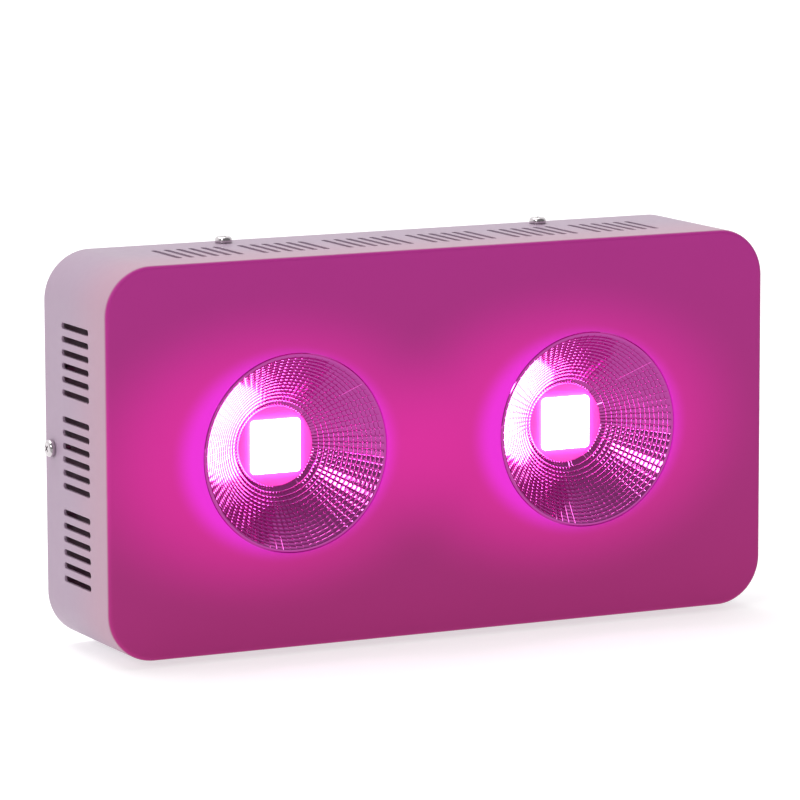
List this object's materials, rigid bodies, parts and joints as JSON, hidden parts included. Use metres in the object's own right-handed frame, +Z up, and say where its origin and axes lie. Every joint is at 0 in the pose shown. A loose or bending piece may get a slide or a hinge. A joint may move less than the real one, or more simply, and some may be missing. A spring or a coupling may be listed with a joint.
{
  "type": "led grow light",
  "caption": "Box-shaped plant light: slotted steel housing, faceted reflector bowls over square LEDs, finned heatsinks with fans, rear power inlet, rocker switch and hanging eyes.",
  "frame": {"origin": "middle of the bottom of the whole part's box, with the lamp standing on its long side", "axes": "+X along the housing's length, -Y the way the light shines, +Z up"},
  "size_m": [0.3054, 0.0808, 0.1654],
  "materials": {
    "white_paint": "white powder coat with a fine satin grain",
    "reflector_metal": "bright metallised facets",
    "led_board": "white solder mask on an aluminium board",
    "led_emitter": "clear resin over the lit chips, magenta white",
    "heatsink_aluminium": "extruded, mill finish",
    "black_plastic": "moulded, fine matt texture",
    "rocker_plastic": "smooth moulded",
    "chrome_wire": "bright plated wire",
    "nickel_screw": "bright nickel plate",
    "plated_steel": "zinc plate",
    "black_screw": "black oxide",
    "driver_case": "folded and extruded, satin",
    "lead_insulation": "soft sheath"
  },
  "bodies": {
    "housing": {"housing_shell": "white_paint", "rear_cover": "white_paint", "cover_screw_top_left": "nickel_screw", "cover_screw_top_right": "nickel_screw", "cover_screw_bottom_left": "nickel_screw", "cover_screw_bottom_right": "nickel_screw", "cover_screw_left": "nickel_screw", "cover_screw_right": "nickel_screw", "reflector_left": "reflector_metal", "led_board_left": "led_board", "led_emitter_left": "led_emitter", "heatsink_left": "heatsink_aluminium", "fan_frame_left": "black_plastic", "fan_guard_left": "chrome_wire", "led_screw_left_1": "nickel_screw", "led_screw_left_2": "nickel_screw", "heatsink_post_left_1": "plated_steel", "heatsink_post_left_2": "plated_steel", "heatsink_post_left_3": "plated_steel", "heatsink_post_left_4": "plated_steel", "fan_screw_left_1": "black_screw", "fan_screw_left_2": "black_screw", "fan_screw_left_3": "black_screw", "fan_screw_left_4": "black_screw", "reflector_right": "reflector_metal", "led_board_right": "led_board", "led_emitter_right": "led_emitter", "heatsink_right": "heatsink_aluminium", "fan_frame_right": "black_plastic", "fan_guard_right": "chrome_wire", "led_screw_right_1": "nickel_screw", "led_screw_right_2": "nickel_screw", "heatsink_post_right_1": "plated_steel", "heatsink_post_right_2": "plated_steel", "heatsink_post_right_3": "plated_steel", "heatsink_post_right_4": "plated_steel", "fan_screw_right_1": "black_screw", "fan_screw_right_2": "black_screw", "fan_screw_right_3": "black_screw", "fan_screw_right_4": "black_screw", "led_driver_upper": "driver_case", "led_driver_lower": "driver_case", "power_inlet": "black_plastic", "switch_body": "black_plastic", "hanging_eye_upper_left": "plated_steel", "eye_nut_upper_left": "plated_steel", "hanging_eye_upper_right": "plated_steel", "eye_nut_upper_right": "plated_steel", "hanging_eye_lower_left": "plated_steel", "eye_nut_lower_left": "plated_steel", "hanging_eye_lower_right": "plated_steel", "eye_nut_lower_right": "plated_steel", "led_lead_left": "lead_insulation", "led_lead_right": "lead_insulation", "inlet_lead": "lead_insulation", "feed_lead_lower": "lead_insulation", "feed_lead_upper": "lead_insulation"},
    "fan_left": {"fan_rotor_left": "black_plastic"},
    "fan_right": {"fan_rotor_right": "black_plastic"},
    "switch_button": {"switch_rocker": "rocker_plastic"}
  },
  "joints": [
    {"name": "fan_left_spin", "type": "hinge", "parent": "housing", "child": "fan_left", "pos_m": [-0.067, 0.01465, 0.0827], "axis": [0, 1, 0], "continuous": true},
    {"name": "fan_right_spin", "type": "hinge", "parent": "housing", "child": "fan_right", "pos_m": [0.067, 0.01465, 0.0827], "axis": [0, 1, 0], "continuous": true},
    {"name": "switch_rock", "type": "hinge", "parent": "housing", "child": "switch_button", "pos_m": [0, 0.02225, 0.0587], "axis": [1, 0, 0], "range_deg": [-14, 0]}
  ]
}
